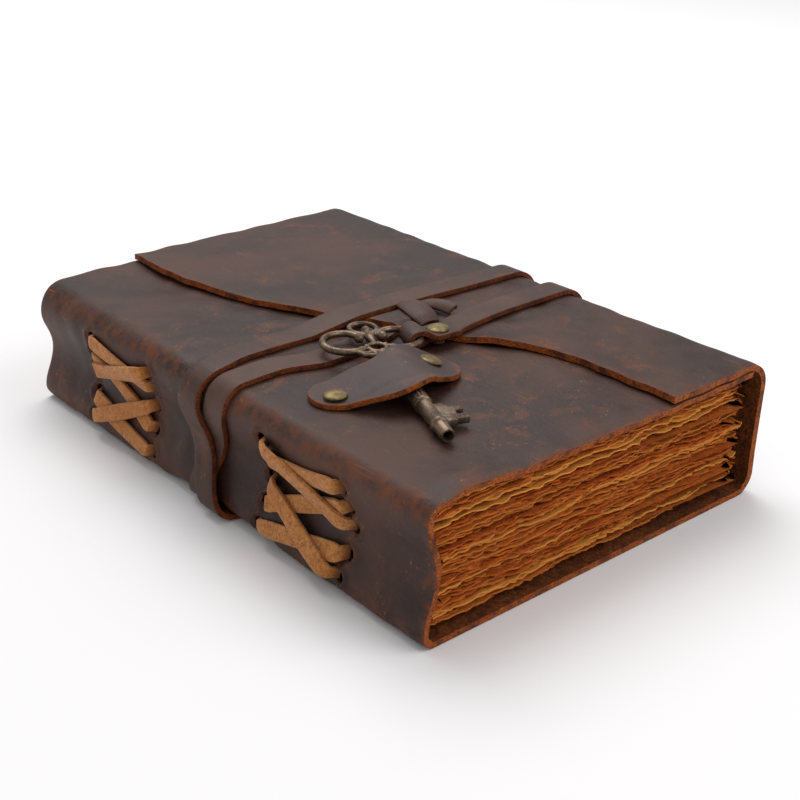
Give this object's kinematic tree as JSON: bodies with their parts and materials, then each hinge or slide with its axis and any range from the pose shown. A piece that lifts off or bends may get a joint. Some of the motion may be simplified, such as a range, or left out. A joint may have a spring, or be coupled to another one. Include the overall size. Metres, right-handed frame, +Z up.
{
  "type": "leather journal",
  "caption": "Closed leather wrap journal with deckled pages, spine lacing, a long wrapped strap and an old-style key tucked under a riveted leather keeper.",
  "frame": {"origin": "middle of the bounding box on the table plane, with the journal lying closed on its back cover", "axes": "+X from the spine to the fore-edge, +Y from the tail to the head, +Z up out of the front cover"},
  "size_m": [0.1264, 0.178, 0.0445],
  "materials": {
    "hide": "waxed, scuffed",
    "strap": "waxed",
    "lace": "matte",
    "paper": "rough, dyed",
    "key_metal": "antique",
    "rivet_metal": "antique"
  },
  "bodies": {
    "root": {"cover": "hide", "page_block": "paper", "lacing_head": "lace", "lacing_tail": "lace", "wrap_strap": "strap", "key": "key_metal", "key_keeper": "hide", "keeper_rivet_left": "rivet_metal", "keeper_rivet_left_back": "rivet_metal", "keeper_rivet_right": "rivet_metal", "keeper_rivet_right_back": "rivet_metal", "strap_rivet": "rivet_metal", "strap_rivet_back": "rivet_metal"}
  },
  "joints": []
}
